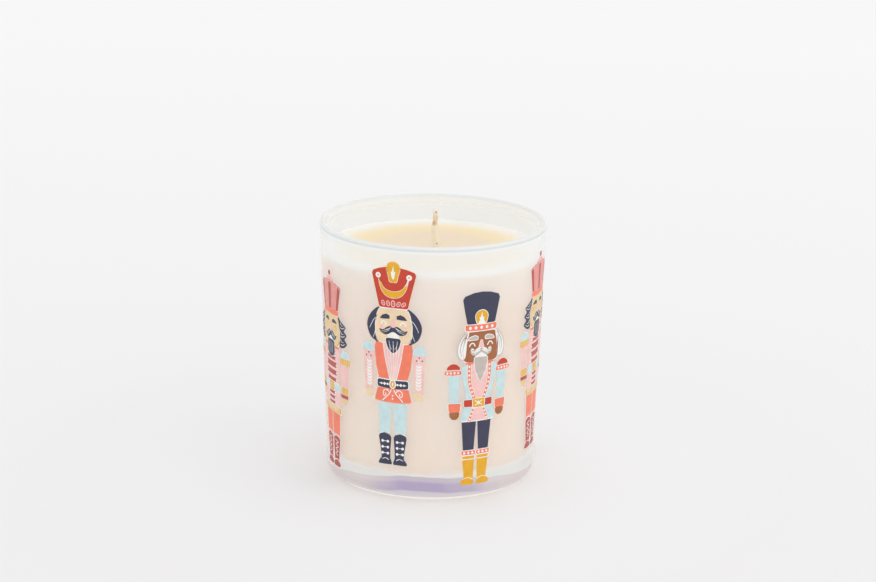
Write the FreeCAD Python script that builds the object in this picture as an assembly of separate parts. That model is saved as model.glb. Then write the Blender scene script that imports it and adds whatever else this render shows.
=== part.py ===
"""Printed glass tumbler candle: tapered glass, poured wax, waxed wick and eight printed soldiers.

Millimetres, +Z up. The origin is the centre of the circle that the glass stands on.
A print is drawn flat: s is the distance round the glass from the soldier's middle, h the height
above the soles. It is then wrapped on the glass as a film, one node for each ink of each soldier.
"""
import FreeCAD
import Part
import math
import os

Vector = FreeCAD.Vector

# ---- Glass tumbler ----
HEIGHT = 92.0
RIM_RADIUS = 40.0
BASE_RADIUS = 37.1
RIM_WALL = 2.3
BASE_WALL = 2.9
FLOOR_TOP = 7.6
BASE_CORNER = 4.0
CAVITY_CORNER = 6.0
RIM_ROUNDING = 1.12
PUNT_RADIUS = 29.5
PUNT_DEPTH = 1.0

# ---- Wax ----
WAX_LEVEL = 82.0
MENISCUS_RISE = 0.7
MENISCUS_WIDTH = 2.4
MENISCUS_OVERLAP = 1.0
MENISCUS_BEND_AT = 0.6
MENISCUS_BEND_RISE = 0.3

# ---- Wick and what holds it to the floor ----
WICK_X = 0.9
WICK_RADIUS = 1.1
WICK_BEND_START = 83.0
WICK_BEND_RADIUS = 26.0
WICK_BEND_ANGLE = 8.0
WICK_TIP_LENGTH = 1.6
STICKER_RADIUS = 9.0
STICKER_THICKNESS = 0.8
TAB_RADIUS = 10.0
TAB_THICKNESS = 0.4
NECK_WALL = 0.4
NECK_HEIGHT = 5.0
NECK_FLARE = 0.8

# ---- Prints ----
INK_THICKNESS = 0.1
LOW_SOLE = 6.0
MIDDLE_SOLE = 11.0
HIGH_SOLE = 13.0
PRINT_TOP = 88.0
PRINT_MARGIN = 1.0
PRINT_PITCH = 45.0
FIRST_PRINT_ANGLE = -64.4
FLATTEN_RADIUS = 38.9
PRISM_FRONT = 42.0
PRISM_DEPTH = 14.0
SMALLEST_FILM = 0.005
TINY_TURN = 0.02
CORNER_SHARE = 0.47

TOLERANCE = 0.01
HAIR = 1e-6

# The order round the glass, from the first angle, with the level that each soldier stands at.
PRINT_ORDER = [
    ("crown", LOW_SOLE),
    ("red_hat", HIGH_SOLE),
    ("navy_hat", LOW_SOLE),
    ("crown", HIGH_SOLE),
    ("red_hat", LOW_SOLE),
    ("navy_hat", MIDDLE_SOLE),
    ("crown", LOW_SOLE),
    ("navy_hat", MIDDLE_SOLE),
]


# ---------------------------------------------------------------- glass, wax and wick

def outer_radius(z):
    """Outside radius of the tapered wall at a height."""
    return BASE_RADIUS + (RIM_RADIUS - BASE_RADIUS) * z / HEIGHT


def inner_radius(z):
    """Inside radius of the tapered wall at a height."""
    share = (z - FLOOR_TOP) / (HEIGHT - FLOOR_TOP)
    return outer_radius(z) - BASE_WALL + (BASE_WALL - RIM_WALL) * share


def at(radius, z):
    """Point of a turned profile."""
    return Vector(radius, 0, z)


def turned(edges):
    """Solid made by turning a closed profile round the axis."""
    face = Part.Face(Part.Wire(edges))
    return face.revolve(Vector(0, 0, 0), Vector(0, 0, 1), 360)


def line(start, end):
    return Part.LineSegment(start, end).toShape()


def arc(start, middle, end):
    return Part.Arc(start, middle, end).toShape()


def closed_lines(points):
    """Edges of a closed profile of straight lines."""
    return [line(a, b) for a, b in zip(points, points[1:] + points[:1])]


def rounded_ring(shape, radius, z, rounding):
    """Rounds the circular edge of a turned solid at a radius and height."""
    def on_ring(edge):
        box = edge.BoundBox
        level = abs(box.ZMin - z) < TOLERANCE and box.ZLength < TOLERANCE
        return level and abs(box.XMax - radius) < TOLERANCE
    return shape.makeFillet(rounding, [edge for edge in shape.Edges if on_ring(edge)])


def make_cavity(top):
    """Space inside the glass, from the floor up to a height."""
    profile = [at(0, FLOOR_TOP), at(inner_radius(FLOOR_TOP), FLOOR_TOP),
               at(inner_radius(top), top), at(0, top)]
    return rounded_ring(turned(closed_lines(profile)), inner_radius(FLOOR_TOP), FLOOR_TOP, CAVITY_CORNER)


def make_glass():
    """Tumbler with a thick floor, a hollow under it, and a fire-polished rim."""
    sag = (PUNT_RADIUS ** 2 - PUNT_DEPTH ** 2) / (2 * PUNT_DEPTH)
    half_way = PUNT_RADIUS / 2
    mid_height = PUNT_DEPTH - (math.hypot(sag, half_way) - sag)
    edges = [
        arc(at(0, PUNT_DEPTH), at(half_way, mid_height), at(PUNT_RADIUS, 0)),
        line(at(PUNT_RADIUS, 0), at(BASE_RADIUS, 0)),
        line(at(BASE_RADIUS, 0), at(RIM_RADIUS, HEIGHT)),
        line(at(RIM_RADIUS, HEIGHT), at(0, HEIGHT)),
        line(at(0, HEIGHT), at(0, PUNT_DEPTH)),
    ]
    glass = turned(edges).cut(make_cavity(HEIGHT + BASE_CORNER))
    glass = rounded_ring(glass, BASE_RADIUS, 0, BASE_CORNER)
    glass = rounded_ring(glass, RIM_RADIUS, HEIGHT, RIM_ROUNDING)
    return rounded_ring(glass, inner_radius(HEIGHT), HEIGHT, RIM_ROUNDING)


def make_air_above_wax():
    """Space above the wax, whose underside creeps up at the wall."""
    wall = inner_radius(WAX_LEVEL) + MENISCUS_OVERLAP
    flat = inner_radius(WAX_LEVEL) - MENISCUS_WIDTH
    bend = at(flat + MENISCUS_BEND_AT * (wall - flat), WAX_LEVEL + MENISCUS_BEND_RISE * MENISCUS_RISE)
    edge = at(wall, WAX_LEVEL + MENISCUS_RISE)
    edges = [
        line(at(0, WAX_LEVEL), at(flat, WAX_LEVEL)),
        arc(at(flat, WAX_LEVEL), bend, edge),
        line(edge, at(wall, HEIGHT)),
        line(at(wall, HEIGHT), at(0, HEIGHT)),
        line(at(0, HEIGHT), at(0, WAX_LEVEL)),
    ]
    return turned(edges)


def make_wick():
    """Round waxed wick: straight in the wax, with a slight double bend above it."""
    bottom = Vector(WICK_X, 0, FLOOR_TOP + STICKER_THICKNESS)
    start = Vector(WICK_X, 0, WICK_BEND_START)
    edges = [line(bottom, start)]
    turn = math.radians(WICK_BEND_ANGLE)
    shift = WICK_BEND_RADIUS * (1 - math.cos(turn))
    rise = WICK_BEND_RADIUS * math.sin(turn)
    half_shift = WICK_BEND_RADIUS * (1 - math.cos(turn / 2))
    half_rise = WICK_BEND_RADIUS * math.sin(turn / 2)
    leaning = start + Vector(-shift, 0, rise)
    edges.append(arc(start, start + Vector(-half_shift, 0, half_rise), leaning))
    returning = leaning + Vector(0, 0, 2 * rise)
    edges.append(arc(leaning, leaning + Vector(-shift, 0, rise), returning))
    tip = returning + Vector(math.sin(turn), 0, math.cos(turn)) * WICK_TIP_LENGTH
    edges.append(line(returning, tip))
    section = Part.Wire([Part.Circle(bottom, Vector(0, 0, 1), WICK_RADIUS).toShape()])
    return Part.Wire(edges).makePipeShell([section], True, True)


def make_sticker():
    """Foam adhesive disc between the floor and the metal tab."""
    return Part.makeCylinder(STICKER_RADIUS, STICKER_THICKNESS, Vector(WICK_X, 0, FLOOR_TOP))


def make_tab():
    """Stamped metal tab: a disc with a flared neck that grips the wick."""
    base = FLOOR_TOP + STICKER_THICKNESS
    top = base + TAB_THICKNESS
    neck = WICK_RADIUS + NECK_WALL
    points = [at(WICK_RADIUS, base), at(TAB_RADIUS, base), at(TAB_RADIUS, top), at(neck + NECK_FLARE, top),
              at(neck, top + NECK_FLARE), at(neck, top + NECK_HEIGHT), at(WICK_RADIUS, top + NECK_HEIGHT)]
    tab = turned(closed_lines(points))
    tab.translate(Vector(WICK_X, 0, 0))
    return tab


def make_wax(wick, tab, sticker):
    """Wax poured round the wick and the tab, filling the glass to its level."""
    return make_cavity(HEIGHT).cut(make_air_above_wax()).cut(wick).cut(tab).cut(sticker)


# ---------------------------------------------------------------- drawing a print

def on_plane(point):
    """Point of the flat drawing, at the place where the film's prism has to stand."""
    s, h = point
    return Vector(FLATTEN_RADIUS * math.sin(s / FLATTEN_RADIUS), 0, h)


def corner_cut(before, corner, after, rounding):
    """Start, middle and end of the arc that rounds a corner, or the corner alone if it hardly turns."""
    to_before = (before - corner).normalize()
    to_after = (after - corner).normalize()
    turn = math.pi - to_before.getAngle(to_after)
    if rounding <= 0 or turn < TINY_TURN:
        return [corner]
    room = CORNER_SHARE * min(corner.distanceToPoint(before), corner.distanceToPoint(after))
    reach = min(rounding * math.tan(turn / 2), room)
    radius = reach / math.tan(turn / 2)
    inward = (to_before + to_after).normalize()
    middle = corner + inward * (radius / math.cos(turn / 2) - radius)
    return [corner + to_before * reach, middle, corner + to_after * reach]


def region(points, rounding=0.0):
    """Face inside a closed outline, with its corners rounded."""
    corners = [on_plane(point) for point in points]
    cuts = [corner_cut(corners[i - 1], corner, corners[(i + 1) % len(corners)], rounding)
            for i, corner in enumerate(corners)]
    edges = []
    for cut, following in zip(cuts, cuts[1:] + cuts[:1]):
        if len(cut) > 1:
            edges.append(arc(*cut))
        edges.append(line(cut[-1], following[0]))
    return Part.Face(Part.Wire(edges))


def oval(s, h, half_width, half_height):
    """Elliptical face."""
    wide = half_width >= half_height
    direction = Vector(1, 0, 0) if wide else Vector(0, 0, 1)
    longer, shorter = max(half_width, half_height), min(half_width, half_height)
    ellipse = Part.Ellipse(Vector(0, 0, 0), longer + HAIR, shorter)
    edge = ellipse.toShape()
    edge.rotate(Vector(0, 0, 0), Vector(1, 0, 0), 90)
    if direction.z:
        edge.rotate(Vector(0, 0, 0), Vector(0, 1, 0), 90)
    edge.translate(on_plane((s, h)))
    return Part.Face(Part.Wire([edge]))


def band(half_width, low, high, rounding=0.0):
    """Level strip across the middle."""
    return region([(-half_width, low), (half_width, low), (half_width, high), (-half_width, high)], rounding)


def tapered(bottom, top, low, high, rounding=0.0):
    """Strip across the middle whose half widths differ at its bottom and top."""
    return region([(-bottom, low), (bottom, low), (top, high), (-top, high)], rounding)


class Artwork:
    """Flat drawing in which each shape knocks out the inks that lie under it."""

    def __init__(self):
        self.inks = {}

    def paint(self, ink, shape):
        for name in list(self.inks):
            self.inks[name] = self.inks[name].cut(shape)
        under = self.inks.get(ink)
        self.inks[ink] = under.fuse(shape) if under else shape

    def both(self, ink, shape):
        """Paints a shape and its mirror image."""
        self.paint(ink, shape)
        self.paint(ink, shape.mirror(Vector(0, 0, 0), Vector(1, 0, 0)))


# ---------------------------------------------------------------- features that the soldiers share

def draw_face(art, skin, low, high, jaw=6.6):
    """Broad face with a round jaw and a narrower brow."""
    brow = 5.1
    side = (low + high) / 2 + 0.4
    art.paint(skin, region([(-brow, high), (-jaw, side), (-jaw + 0.2, low + 2), (-4.6, low), (4.6, low),
                            (jaw - 0.2, low + 2), (jaw, side), (brow, high)], 1.6))


def draw_eyes(art, ink, h):
    art.both(ink, oval(3.5, h, 0.9, 0.5))


def draw_brows(art, ink, h, thickness):
    art.both(ink, region([(1.6, h), (4.9, h), (4.4, h + 0.9 * thickness), (2.2, h + thickness)], 0.4))


def draw_nose(art, ink, h):
    art.paint(ink, oval(0, h, 0.95, 1.8))


def draw_moustache(art, ink, h, half_width):
    """Curled moustache whose middle is at a height."""
    tip, mid = half_width, 0.35 * half_width
    art.paint(ink, region([(-tip, h + 0.8), (-0.7 * tip, h - 0.1), (-mid, h + 1.2), (0, h + 0.8),
                           (mid, h + 1.2), (0.7 * tip, h - 0.1), (tip, h + 0.8), (0.72 * tip, h - 1.3),
                           (mid, h - 1.4), (0, h - 0.3), (-mid, h - 1.4), (-0.72 * tip, h - 1.3)], 0.5))


def draw_beard(art, ink, low, high, half_width, point_rounding):
    side, shoulder = 0.85 * half_width, low + 0.45 * (high - low)
    art.paint(ink, region([(-half_width, high), (-side, shoulder), (0, low), (side, shoulder),
                           (half_width, high)], point_rounding))


def draw_boots(art, ink, top, dome):
    """Pair of tall boots with a domed or level top."""
    art.both(ink, region([(0.4, 0), (5.3, 0), (5.5, 1.3), (4.8, 2.5), (4.7, 4.2), (5.2, top - dome), (3, top),
                          (0.7, top - dome), (1.0, 4.2), (0.9, 2.4), (0.3, 1.3)], 0.6))


def draw_trousers(art, ink, low, high, hip):
    art.both(ink, region([(1.0, low), (4.8, low), (hip, high), (0.3, high)]))


def draw_dome(art, ink, inner, outer, low, high):
    """Rounded shoulder cap."""
    edge = 0.6 * (high - low)
    art.both(ink, region([(inner, low), (outer, low), (outer - 0.2, low + edge), ((inner + outer) / 2, high),
                          (inner + 0.2, low + edge)], 1.6))


def draw_sleeve(art, ink, low, high):
    art.both(ink, region([(7.5, low), (10.8, low), (11.3, high), (7.2, high)]))


# ---------------------------------------------------------------- the three soldiers

def draw_red_hat():
    """Soldier in a tall red hat, a coral coat and navy boots."""
    art = Artwork()
    draw_boots(art, "navy", 11.6, 1.2)
    draw_trousers(art, "mint", 11.7, 23.0, 5.3)
    art.paint("coral", tapered(6.9, 5.4, 23.1, 28.0, 0.6))
    art.paint("navy", band(5.7, 28.2, 31.2, 1.0))
    art.paint("gold", oval(0, 29.7, 1.1, 1.5))
    art.paint("coral", region([(-5.1, 31.4), (5.1, 31.4), (7.0, 43.4), (5.6, 44.4), (-5.6, 44.4),
                               (-7.0, 43.4)], 0.7))
    art.paint("pink", tapered(1.0, 3.6, 31.6, 44.4))
    draw_sleeve(art, "pink", 27.4, 40.9)
    draw_dome(art, "mint", 7.1, 11.8, 40.9, 44.2)
    art.both("skin", oval(9.0, 25.8, 1.7, 1.7))
    art.both("navy", region([(4.6, 57.0), (8.4, 54.6), (10.0, 50.8), (9.2, 47.2), (6.4, 44.6),
                             (5.6, 50.0)], 1.2))
    draw_face(art, "skin", 44.5, 57.0)
    draw_brows(art, "navy", 52.9, 1.6)
    draw_eyes(art, "white", 51.6)
    art.both("pink", oval(4.0, 50.1, 0.9, 0.9))
    draw_nose(art, "pink", 51.2)
    art.paint("white", band(2.0, 46.3, 48.0, 0.3))
    draw_beard(art, "navy", 41.0, 46.4, 2.6, 0.5)
    draw_moustache(art, "navy", 48.6, 5.1)
    art.paint("red", region([(-5.2, 57.1), (5.2, 57.1), (8.0, 68.9), (6.6, 70.4), (0, 71.6), (-6.6, 70.4),
                             (-8.0, 68.9)], 1.4))
    art.paint("gold", region([(-1.2, 66.4), (1.2, 66.4), (2.3, 71.2), (0, 74.2), (-2.3, 71.2)], 1.3))
    art.paint("white", oval(0, 69.0, 0.7, 1.7))
    art.paint("gold", region([(-5.2, 67.2), (-3.8, 62.6), (0, 60.6), (3.8, 62.6), (5.2, 67.2), (3.2, 64.6),
                              (0, 63.2), (-3.2, 64.6)], 1.2))
    art.both("gold", oval(5.6, 68.2, 0.9, 0.9))
    for s in (-3.8, -1.9, 0, 1.9, 3.8):
        art.paint("pink", oval(s, 58.6, 0.75, 0.5))
    return art.inks


def draw_navy_hat():
    """Soldier in a tall navy hat, a mint coat and gold boots."""
    art = Artwork()
    draw_boots(art, "gold", 10.3, 0.1)
    art.both("coral", region([(0.4, 11.0), (5.3, 11.0), (5.3, 12.6), (0.4, 12.6)], 0.4))
    draw_trousers(art, "navy", 12.7, 23.1, 5.6)
    art.paint("mint", tapered(6.5, 5.2, 23.1, 28.8, 0.4))
    art.paint("pink", tapered(2.8, 1.2, 23.2, 28.8))
    art.both("coral", region([(2.5, 23.2), (3.9, 23.2), (2.2, 28.6), (1.2, 28.6)], 0.3))
    art.paint("red", band(5.5, 28.8, 31.2, 0.5))
    art.paint("gold", band(2.2, 28.6, 31.6, 0.6))
    art.paint("mint", tapered(5.0, 6.2, 31.6, 44.0, 0.8))
    art.paint("pink", region([(-3.4, 44), (-2.6, 36), (-1.6, 31.7), (1.6, 31.7), (2.6, 36), (3.4, 44)]))
    art.both("coral", region([(3.1, 44), (4.4, 44), (3.7, 36), (2.5, 31.7), (1.4, 31.7), (2.5, 36)], 0.6))
    draw_sleeve(art, "mint", 30.5, 40.8)
    art.both("coral", region([(6.6, 40.8), (12.6, 40.8), (12.4, 42.3), (6.8, 42.3)], 0.4))
    draw_dome(art, "red", 6.9, 12.0, 42.3, 45.0)
    art.both("brown", region([(7.1, 27), (10.7, 27), (10.2, 25.1), (8.9, 24.3), (7.6, 25.1)], 0.8))
    art.both("coral", region([(6.7, 27), (10.8, 27), (10.8, 30.5), (6.9, 30.5)], 0.3))
    art.both("grey", region([(4.8, 56.0), (7.8, 54.0), (9.2, 50.5), (8.5, 47.4), (6.2, 45.4),
                             (5.6, 50.0)], 1.2))
    draw_face(art, "brown", 44.9, 56.0, 6.7)
    art.paint("coral", band(5.2, 44.2, 44.9))
    draw_brows(art, "grey", 52.9, 1.4)
    draw_eyes(art, "white", 51.5)
    draw_nose(art, "pink", 50.7)
    draw_beard(art, "grey", 37.4, 46.8, 2.9, 0.5)
    art.paint("white", band(2.0, 46.8, 48.2, 0.3))
    draw_moustache(art, "white", 48.8, 4.7)
    art.paint("coral", band(5.9, 56.1, 58.4, 0.5))
    art.paint("navy", region([(-5.2, 58.6), (5.2, 58.6), (7.0, 67.9), (6.0, 69.3), (0, 70.2), (-6.0, 69.3),
                              (-7.0, 67.9)], 1.2))
    art.paint("gold", region([(-1.2, 58.6), (1.2, 58.6), (2.3, 61.6), (0, 64.2), (-2.3, 61.6)], 1.3))
    art.paint("white", oval(0, 60.8, 0.7, 1.7))
    return art.inks


def draw_crown():
    """Soldier in a pleated crown, a pink coat with barred fastenings and rose boots."""
    art = Artwork()
    draw_boots(art, "rose", 11.5, 1.1)
    draw_trousers(art, "coral", 12.0, 20.0, 5.8)
    art.paint("gold", band(6.5, 20.1, 22.6, 0.3))
    art.paint("pink", region([(-6.5, 22.8), (6.5, 22.8), (5.7, 29.5), (6.3, 43.8), (-6.3, 43.8),
                              (-5.7, 29.5)], 0.5))
    for low, high, half_width in ((23.2, 24.2, 2.7), (25.0, 26.0, 2.6), (26.7, 27.7, 2.5), (31.6, 33.0, 3.8),
                                  (34.0, 35.9, 3.9), (36.8, 38.7, 3.9), (39.5, 40.6, 3.6)):
        art.paint("rose", band(half_width, low, high, 0.3))
    art.paint("mint", band(5.7, 28.3, 31.0, 0.3))
    art.paint("gold", band(1.8, 28.0, 31.3, 0.4))
    art.paint("coral", band(5.6, 44.0, 44.8))
    draw_sleeve(art, "pink", 30.9, 39.2)
    art.both("gold", region([(6.7, 39.2), (12.2, 39.2), (12.1, 41.7), (6.8, 41.7)], 0.3))
    draw_dome(art, "mint", 6.7, 12.1, 41.8, 44.3)
    art.both("gold", region([(7.0, 28.5), (10.9, 28.5), (11.0, 30.9), (7.1, 30.9)], 0.3))
    art.both("rose", region([(6.7, 27.0), (10.7, 27.0), (10.7, 28.4), (6.7, 28.4)], 0.2))
    art.both("tan", region([(7.0, 27.0), (10.4, 27.0), (10.0, 25.0), (8.7, 24.2), (7.4, 25.0)], 0.8))
    for s, h, size in ((7.6, 53.4, 2.3), (8.2, 50.3, 2.3), (8.0, 47.2, 2.2)):
        art.both("navy", oval(s, h, size, 0.95 * size))
    draw_face(art, "tan", 45.0, 56.1)
    draw_brows(art, "navy", 53.3, 0.9)
    draw_eyes(art, "gold", 51.5)
    art.both("coral", oval(4.6, 47.6, 0.8, 0.8))
    draw_nose(art, "pink", 50.8)
    art.paint("white", band(1.9, 46.6, 48.2, 0.3))
    draw_beard(art, "navy", 40.4, 46.7, 2.8, 1.4)
    draw_moustache(art, "navy", 48.7, 4.4)
    art.paint("coral", band(5.9, 56.1, 57.9, 0.4))
    draw_pleats(art, 7, 58.0, 67.0, 5.7, 7.6)
    art.paint("pink", region([(-3.6, 67.6), (0, 66.8), (3.6, 67.6), (0.5, 69.9), (-0.5, 69.9)], 0.5))
    art.paint("rose", oval(0, 70.7, 0.9, 0.9))
    return art.inks


def draw_pleats(art, count, low, high, bottom, top):
    """Flared pleats in two inks, each with a scalloped top."""
    for i in range(count):
        left, right = 2 * i / count - 1, 2 * (i + 1) / count - 1
        middle = (left + right) / 2
        outline = [(left * bottom, low), (right * bottom, low), (right * top, high - 0.2),
                   (middle * top, high + 0.9), (left * top, high - 0.2)]
        art.paint("rose" if i % 2 else "salmon", region(outline))


# ---------------------------------------------------------------- wrapping prints on the glass

def make_film_shell():
    """Thin conical layer on the outside of the glass, as high as the prints reach."""
    low = LOW_SOLE - PRINT_MARGIN
    height = PRINT_TOP - low
    base = Vector(0, 0, low)
    bottom, top = outer_radius(low), outer_radius(low + height)
    outside = Part.makeCone(bottom + INK_THICKNESS, top + INK_THICKNESS, height, base)
    return outside.cut(Part.makeCone(bottom, top, height, base))


def wrap(flat, sole, shell):
    """Films of one ink, facing -Y: the drawing pushed through the thin layer."""
    prisms = []
    for face in flat.Faces:
        drawing = face.copy()
        drawing.translate(Vector(0, -PRISM_FRONT, sole))
        prisms.append(drawing.extrude(Vector(0, PRISM_DEPTH, 0)))
    film = shell.common(Part.makeCompound(prisms))
    return [solid for solid in film.Solids if solid.Volume > SMALLEST_FILM]


def turned_by(solid, degrees):
    copy = solid.copy()
    copy.rotate(Vector(0, 0, 0), Vector(0, 0, 1), degrees)
    return copy


def make_prints():
    """All films, as a compound for each ink of each soldier."""
    drawings = {"red_hat": draw_red_hat(), "navy_hat": draw_navy_hat(), "crown": draw_crown()}
    shell = make_film_shell()
    films = {}
    nodes = {}
    for position, (soldier, sole) in enumerate(PRINT_ORDER):
        angle = FIRST_PRINT_ANGLE + PRINT_PITCH * position
        for ink, flat in drawings[soldier].items():
            if (soldier, sole, ink) not in films:
                films[soldier, sole, ink] = wrap(flat, sole, shell)
            placed = [turned_by(solid, angle) for solid in films[soldier, sole, ink]]
            nodes.setdefault(f"{soldier}_soldier_{ink}_ink", []).extend(placed)
    return {name: Part.makeCompound(solids) for name, solids in nodes.items()}


def main():
    wick = make_wick()
    tab = make_tab()
    sticker = make_sticker()
    nodes = {
        "glass_tumbler": make_glass(),
        "wax_fill": make_wax(wick, tab, sticker),
        "wick": wick,
        "wick_tab": tab,
        "wick_sticker": sticker,
    }
    nodes.update(make_prints())
    os.makedirs("parts", exist_ok=True)
    for name, shape in nodes.items():
        shape.exportStep(f"parts/{name}.step")
        print(name, shape.isValid(), len(shape.Solids), round(shape.Volume, 2))


main()
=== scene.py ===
"""Looks of a candle in a tapered pearl glass tumbler with eight printed soldiers.

Drawings and profiles are in millimetres. In a drawing, s is the distance round the glass from the
soldier's middle and h the height above the soles; it is wrapped on the glass when its mesh is made.
"""
import math

import bmesh
import bpy
import numpy as np
from mathutils import Matrix, Vector, noise


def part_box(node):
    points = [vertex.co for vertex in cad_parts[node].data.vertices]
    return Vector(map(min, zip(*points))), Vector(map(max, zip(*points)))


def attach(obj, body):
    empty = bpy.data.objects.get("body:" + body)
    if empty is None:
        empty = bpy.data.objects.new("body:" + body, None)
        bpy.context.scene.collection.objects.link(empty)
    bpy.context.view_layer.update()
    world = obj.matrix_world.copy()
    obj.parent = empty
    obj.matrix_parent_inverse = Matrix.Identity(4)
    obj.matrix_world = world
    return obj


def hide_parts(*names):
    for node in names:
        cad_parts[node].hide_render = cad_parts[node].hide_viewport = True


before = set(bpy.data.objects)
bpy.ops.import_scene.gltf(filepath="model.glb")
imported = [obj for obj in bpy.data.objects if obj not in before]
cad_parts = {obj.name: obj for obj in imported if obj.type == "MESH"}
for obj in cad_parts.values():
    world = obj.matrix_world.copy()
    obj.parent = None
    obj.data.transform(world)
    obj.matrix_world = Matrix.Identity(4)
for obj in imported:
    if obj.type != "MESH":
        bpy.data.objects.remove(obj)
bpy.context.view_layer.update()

MM = 0.001

# ---- Glass, as in the CAD model ----
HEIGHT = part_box("glass_tumbler")[1].z / MM
RIM_RADIUS = 40.0
BASE_RADIUS = 37.1
RIM_WALL = 2.3
BASE_WALL = 2.9
FLOOR_TOP = 7.6
BASE_CORNER = 4.0
CAVITY_CORNER = 6.0
PUNT_RADIUS = 29.5
PUNT_DEPTH = 1.0
WAX_LEVEL = 82.0
WAX_OVERLAP = 0.04
CREEP_WIDTH = 2.4
CREEP_HEIGHT = 0.7
WICK_X = 0.9
WICK_BEND = 83.0, 95.5
WICK_PINCH = 90.2
ROUND_STEPS = 256
SHARP_ANGLE = 40.0

# ---- Prints: layers are FILM apart, and each film reaches OVERLAP of a layer into the one below ----
FILM = 0.02
OVERLAP = 0.75
STRIP = 1.6
MERGE = 1e-4
LOW_SOLE = 6.0
MIDDLE_SOLE = 11.0
HIGH_SOLE = 13.0
PRINT_PITCH = 45.0
FIRST_PRINT_ANGLE = -64.4
PRINT_ORDER = [("crown", LOW_SOLE), ("red_hat", HIGH_SOLE), ("navy_hat", LOW_SOLE), ("crown", HIGH_SOLE),
    ("red_hat", LOW_SOLE), ("navy_hat", MIDDLE_SOLE), ("crown", LOW_SOLE), ("navy_hat", MIDDLE_SOLE)]
# Layers of the films, from the glass out; layer 0 is left for the white that shows round a MAIN shape.
MAIN, OVER, DETAIL, FINE, FINER, FINEST = range(1, 7)

INK_COLOURS = {
    "red": (204, 64, 44), "coral": (250, 130, 100), "pink": (251, 202, 196), "mint": (204, 229, 231),
    "navy": (58, 60, 84), "gold": (236, 176, 32), "skin": (244, 217, 180), "brown": (168, 103, 62),
    "grey": (200, 190, 182), "white": (252, 250, 246), "salmon": (234, 142, 132), "rose": (186, 80, 70),
    "tan": (236, 208, 160),
}

# ---- Materials ----
GLASS_IOR = 1.5
WAX_IOR = 1.44
INK_MOTTLE = 0.07
# Painted glow: emission colour along the heel of the glass, a painted highlight for the light that the
# thick floor gathers.
HEEL_GLINT = (0.22, 0.22, 0.2)


# ---- small helpers ----

def linear(rgb):
    """Scene-linear colour of an sRGB one given in 0 to 255."""
    def channel(c):
        c /= 255
        return c / 12.92 if c <= 0.04045 else ((c + 0.055) / 1.055) ** 2.4
    return tuple(channel(c) for c in rgb)


def outer_radius(z):
    return BASE_RADIUS + (RIM_RADIUS - BASE_RADIUS) * z / HEIGHT


def inner_radius(z):
    share = (z - FLOOR_TOP) / (HEIGHT - FLOOR_TOP)
    return outer_radius(z) - BASE_WALL + (BASE_WALL - RIM_WALL) * share


def new_object(name, vertices, faces, material):
    """Mesh object from vertices in millimetres, smooth but for its sharp edges."""
    mesh = bpy.data.meshes.new(name)
    mesh.from_pydata([tuple(c * MM for c in v) for v in vertices], [], faces)
    mesh.validate()
    mesh.shade_smooth()
    mesh.set_sharp_from_angle(angle=math.radians(SHARP_ANGLE))
    obj = bpy.data.objects.new(name, mesh)
    bpy.context.scene.collection.objects.link(obj)
    mesh.materials.append(material)
    return obj


def place(obj, slot, *replaced):
    """Makes a piece part of the candle."""
    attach(obj, "root")
    if replaced:
        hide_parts(*replaced)


# ---- materials ----

def node_material(name):
    """Empty node material and its tree."""
    material = bpy.data.materials.new(name)
    material.use_nodes = True
    material.node_tree.nodes.clear()
    return material, material.node_tree


def add_node(tree, kind, inputs=None, **settings):
    node = tree.nodes.new("ShaderNode" + kind)
    for key, value in settings.items():
        setattr(node, key, value)
    for key, value in (inputs or {}).items():
        if isinstance(value, bpy.types.NodeSocket):
            tree.links.new(value, node.inputs[key])
        else:
            node.inputs[key].default_value = value
    return node


def finished(material, shader):
    """Gives a material its surface."""
    add_node(material.node_tree, "OutputMaterial", {"Surface": shader.outputs[0]})
    return material


def object_place(tree):
    return add_node(tree, "TexCoord").outputs["Object"]


def object_axes(tree):
    """Object coordinates along X, Y and Z, in metres."""
    return add_node(tree, "SeparateXYZ", {"Vector": object_place(tree)}).outputs


def level_place(tree):
    """Object coordinates with the height left out."""
    axes = object_axes(tree)
    return add_node(tree, "CombineXYZ", {"X": axes["X"], "Y": axes["Y"]}).outputs["Vector"]


def length(tree, vector):
    return add_node(tree, "VectorMath", {0: vector}, operation="LENGTH").outputs["Value"]


def maths(tree, operation, *values):
    return add_node(tree, "Math", dict(enumerate(values)), operation=operation).outputs["Value"]


def remap(tree, value, start, end, low=0, high=1):
    """Share that runs from low to high as a value goes from start to end."""
    return add_node(tree, "MapRange", {"Value": value, "From Min": start, "From Max": end, "To Min": low,
        "To Max": high}).outputs["Result"]


def step(tree, value, start, end, low=0, high=1):
    """The same for a value in metres and a start and end in millimetres."""
    return remap(tree, value, start * MM, end * MM, low, high)


def blend(tree, share, first, second):
    return add_node(tree, "Mix", {0: share, 6: first, 7: second}, data_type="RGBA").outputs[2]


def noise_share(tree, where, scale, detail=3, roughness=0.55, distortion=0):
    return add_node(tree, "TexNoise", {"Vector": where, "Scale": scale, "Detail": detail,
        "Roughness": roughness, "Distortion": distortion}).outputs["Fac"]


def object_noise(tree, scale, *settings):
    """Noise fixed to the object, with its scale in features per metre."""
    return noise_share(tree, object_place(tree), scale, *settings)


def ramp(tree, factor, *stops):
    """Colour ramp with (position, colour) stops."""
    node = add_node(tree, "ValToRGB", {"Fac": factor})
    elements = node.color_ramp.elements
    while len(elements) < len(stops):
        elements.new(0.5)
    for element, (position, colour) in zip(elements, stops):
        element.position = position
        element.color = (*colour, 1)
    return node.outputs["Color"]


def grey(value):
    return (value,) * 3


def bump(tree, height, strength, distance):
    return add_node(tree, "Bump", {"Height": height, "Strength": strength,
        "Distance": distance}).outputs["Normal"]


def principled(tree, inputs):
    return add_node(tree, "BsdfPrincipled", inputs)


def mixed(tree, share, first, second):
    return add_node(tree, "MixShader", {0: share, 1: first.outputs[0], 2: second.outputs[0]})


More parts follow.
